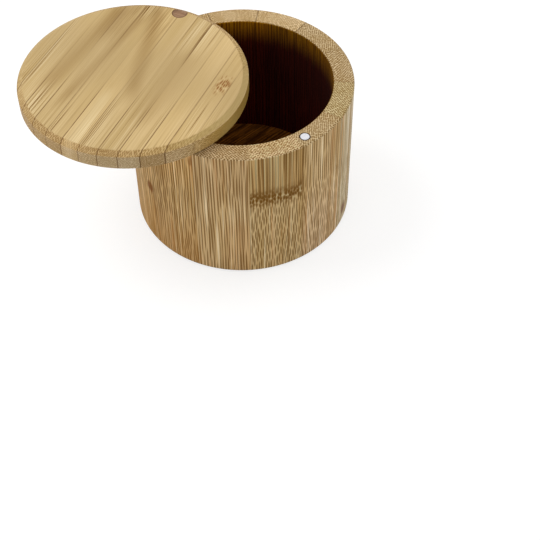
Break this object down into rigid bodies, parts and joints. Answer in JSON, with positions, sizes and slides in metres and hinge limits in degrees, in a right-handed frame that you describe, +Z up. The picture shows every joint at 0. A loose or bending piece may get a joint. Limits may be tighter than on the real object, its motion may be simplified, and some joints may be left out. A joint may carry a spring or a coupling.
{
  "type": "salt box with swivel lid",
  "caption": "Round bamboo salt box of glued staves, with a flat lid that swivels about a plugged pivot screw in the rim and is caught by a small magnet.",
  "frame": {"origin": "centre of the round foot, on the plane that the box stands on", "axes": "+Z up along the bore's axis; +Y from the axis towards the lid's pivot; -Y towards the catch magnet in the rim; +X to the right seen from the magnet's side"},
  "size_m": [0.1241, 0.1096, 0.0708],
  "materials": {
    "stave_bamboo": "oiled bamboo, fine vertical stripes, end grain on the rim",
    "floor_bamboo": "oiled bamboo strips",
    "lid_bamboo": "oiled bamboo strips, satin",
    "screw_steel": "zinc plated",
    "plug_wood": "brown hardwood end grain, satin",
    "magnet_plating": "satin nickel plating"
  },
  "bodies": {
    "box": {"stave_01": "stave_bamboo", "stave_02": "stave_bamboo", "stave_03": "stave_bamboo", "stave_04": "stave_bamboo", "stave_05": "stave_bamboo", "stave_06": "stave_bamboo", "stave_07": "stave_bamboo", "stave_08": "stave_bamboo", "stave_09": "stave_bamboo", "stave_10": "stave_bamboo", "stave_11": "stave_bamboo", "stave_12": "stave_bamboo", "stave_13": "stave_bamboo", "floor_strip_01": "floor_bamboo", "floor_strip_02": "floor_bamboo", "floor_strip_03": "floor_bamboo", "floor_strip_04": "floor_bamboo", "floor_strip_05": "floor_bamboo", "floor_strip_06": "floor_bamboo", "floor_strip_07": "floor_bamboo", "floor_strip_08": "floor_bamboo", "floor_strip_09": "floor_bamboo", "floor_strip_10": "floor_bamboo", "floor_strip_11": "floor_bamboo", "pivot_screw": "screw_steel", "rim_magnet": "magnet_plating"},
    "lid": {"lid_strip_01": "lid_bamboo", "lid_strip_02": "lid_bamboo", "lid_strip_03": "lid_bamboo", "lid_strip_04": "lid_bamboo", "lid_strip_05": "lid_bamboo", "lid_strip_06": "lid_bamboo", "lid_strip_07": "lid_bamboo", "lid_strip_08": "lid_bamboo", "lid_strip_09": "lid_bamboo", "lid_strip_10": "lid_bamboo", "lid_strip_11": "lid_bamboo", "lid_strip_12": "lid_bamboo", "pivot_plug": "plug_wood", "lid_magnet": "magnet_plating"}
  },
  "joints": [
    {"name": "lid_swivel", "type": "hinge", "parent": "box", "child": "lid", "pos_m": [0, 0.0404, 0.0635], "axis": [0, 0, 1], "continuous": true}
  ]
}
